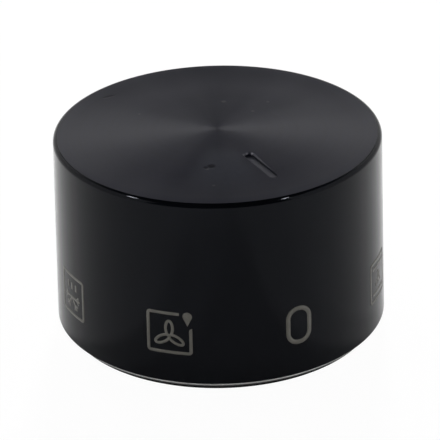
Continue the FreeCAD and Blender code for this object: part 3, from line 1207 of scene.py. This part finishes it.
def add_camera(settings):
    """Camera at the photograph's angle."""
    right, away = view_axes(settings)
    back = UP * math.sin(settings.elevation) - away * math.cos(settings.elevation)
    up = back.cross(right)
    cosine, sine = math.cos(settings.roll), math.sin(settings.roll)
    across = cosine * right - sine * up
    upward = sine * right + cosine * up
    place = Matrix((across, upward, back)).transposed().to_4x4()
    place.translation = settings.aim_level * UP + settings.distance * back
    data = bpy.data.cameras.new("camera")
    data.lens = settings.lens
    data.sensor_width = 36.0
    data.shift_x = 0.0015
    data.shift_y = 0.0064
    data.clip_start = 0.01
    data.clip_end = 50.0
    camera = bpy.data.objects.new("camera", data)
    camera.matrix_world = place
    bpy.context.scene.collection.objects.link(camera)
    bpy.context.scene.camera = camera


def make_floor_finish(settings):
    """White paper that looks white to the camera and in reflections, with a faint shadow."""
    material = bpy.data.materials.new("white_paper")
    material.use_nodes = True
    tree = material.node_tree
    tree.nodes.clear()
    position = add_node(tree, "ShaderNodeTexCoord").outputs["Object"]
    grain = add_node(tree, "ShaderNodeTexNoise", {"Vector": position, "Scale": 30.0})
    paper = add_node(tree, "ShaderNodeBsdfDiffuse", {
        "Color": uneven(tree, grain.outputs[0], settings.floor_colour, 0.99, 1.0)})
    glow = add_node(tree, "ShaderNodeEmission")
    path = add_node(tree, "ShaderNodeLightPath").outputs
    mirrored = maths(tree, "MAXIMUM", path["Is Glossy Ray"], path["Is Transmission Ray"])
    away = vector_maths(tree, "LENGTH", position)
    far = spread(tree, away, MIRRORED_FROM, MIRRORED_TO, 0.0, MIRRORED_WHITE)
    seen = maths(tree, "MAXIMUM", maths(tree, "MULTIPLY", path["Is Camera Ray"], SEEN_WHITE),
                 maths(tree, "MULTIPLY", mirrored, far))
    mix = add_node(tree, "ShaderNodeMixShader", {0: seen, 1: paper.outputs[0], 2: glow.outputs[0]})
    add_node(tree, "ShaderNodeOutputMaterial", {"Surface": mix.outputs[0]})
    return material


def add_sheet(name, rows, material):
    """Sheet of paper through rows of points."""
    width = len(rows[0])
    faces = []
    for first in range(0, width * (len(rows) - 1), width):
        faces += [(i, i + 1, i + 1 + width, i + width) for i in range(first, first + width - 1)]
    mesh = bpy.data.meshes.new(name)
    mesh.from_pydata([tuple(point) for row in rows for point in row], [], faces)
    mesh.polygons.foreach_set("use_smooth", [True] * len(faces))
    mesh.materials.append(material)
    sheet = bpy.data.objects.new(name, mesh)
    bpy.context.scene.collection.objects.link(sheet)


def add_floor(settings):
    """Paper that lies under the knob and sweeps up behind it, and upright cards at its sides and back."""
    right, away = view_axes(settings)
    paper = make_floor_finish(settings)
    sweep = arc((PAPER_BACK - PAPER_SWEEP, PAPER_SWEEP), PAPER_SWEEP, -math.pi / 2, 0.0, PAPER_SWEEP_STEPS)
    line = [(PAPER_FRONT, 0.0), *sweep, (PAPER_BACK, settings.backdrop)]
    add_sheet("paper_floor", [
        [right * x + away * y + UP * (z - PAPER_DROP) for x in (-PAPER_HALF, PAPER_HALF)]
        for y, z in line
    ], paper)
    for name, start, stop, share in CARDS:
        add_sheet(name, [
            [right * x + away * y + UP * z for z in (0.0, share * settings.card)]
            for x, y in (start, stop)
        ], paper)


def add_lamp(name, place, size, power, mirrored):
    """Flat lamp that faces the knob, and either shows only in gloss or lights only matt surfaces."""
    data = bpy.data.lights.new(name, "AREA")
    data.shape = "RECTANGLE"
    data.size, data.size_y = size
    data.energy = power
    lamp = bpy.data.objects.new(name, data)
    lamp.location = place
    lamp.rotation_mode = "QUATERNION"
    lamp.rotation_quaternion = place.to_track_quat("Z", "Y")
    lamp.visible_glossy = mirrored
    lamp.visible_diffuse = not mirrored
    bpy.context.scene.collection.objects.link(lamp)


def add_room(settings):
    """Even light of the room, white where the camera sees past the paper."""
    world = bpy.data.worlds.new("room")
    world.use_nodes = True
    tree = world.node_tree
    tree.nodes.clear()
    path = add_node(tree, "ShaderNodeLightPath").outputs
    strength = maths(tree, "ADD", path["Is Camera Ray"], maths(
        tree, "ADD", maths(tree, "MULTIPLY", path["Is Diffuse Ray"], settings.fill), MIRRORED_ROOM))
    room = add_node(tree, "ShaderNodeBackground", {"Strength": strength, "Color": (1.0, 1.0, 1.0, 1.0)})
    add_node(tree, "ShaderNodeOutputWorld", {"Surface": room.outputs[0]})
    bpy.context.scene.world = world


class KNOB_OT_add_stage(bpy.types.Operator):
    """Add the camera, the white paper floor, the lamps and the room's light"""

    bl_idname = "knob.add_stage"
    bl_label = "Stage"

    def execute(self, context):
        settings = context.scene.knob_stage
        right, away = view_axes(settings)
        add_camera(settings)
        add_floor(settings)
        for name, (x, y, z), size, power, share, mirrored in LAMPS:
            place = LAMP_DISTANCE * (x * right + y * away + z * UP)
            add_lamp(name, place, size, share * getattr(settings, power), mirrored)
        add_room(settings)
        context.scene.view_settings.view_transform = "Standard"
        return {"FINISHED"}


class KNOB_PT_panel(bpy.types.Panel):
    """Pieces and settings of the knob"""

    bl_idname = "KNOB_PT_panel"
    bl_label = "Oven Control Knob"
    bl_space_type = "VIEW_3D"
    bl_region_type = "UI"
    bl_category = "Knob"

    def draw(self, context):
        layout = self.layout
        for operator in OPERATORS:
            layout.operator(operator.bl_idname)
        for name, _ in SETTINGS:
            group = getattr(context.scene, name)
            box = layout.box()
            for key in group.__annotations__:
                box.prop(group, key)


SETTINGS = (
    ("knob_shell", ShellSettings),
    ("knob_print", PrintSettings),
    ("knob_inside", InsideSettings),
    ("knob_stage", StageSettings),
)
OPERATORS = (
    KNOB_OT_add_shell,
    KNOB_OT_add_print,
    KNOB_OT_finish_core,
    KNOB_OT_finish_clip,
    KNOB_OT_add_stage,
)


def register():
    """Adds the settings, the operators and the panel."""
    for name, group in SETTINGS:
        bpy.utils.register_class(group)
        setattr(bpy.types.Scene, name, PointerProperty(type=group))
    for operator in OPERATORS:
        bpy.utils.register_class(operator)
    bpy.utils.register_class(KNOB_PT_panel)


def unregister():
    """Takes the panel, the operators and the settings away again."""
    bpy.utils.unregister_class(KNOB_PT_panel)
    for operator in reversed(OPERATORS):
        bpy.utils.unregister_class(operator)
    for name, group in reversed(SETTINGS):
        delattr(bpy.types.Scene, name)
        bpy.utils.unregister_class(group)


def main():
    """Builds the knob and its stage."""
    register()
    bpy.ops.knob.add_shell()
    bpy.ops.knob.add_print()
    bpy.ops.knob.finish_core()
    bpy.ops.knob.finish_clip()
    bpy.ops.knob.add_stage()
    bpy.context.view_layer.update()


if __name__ == "__main__":
    main()
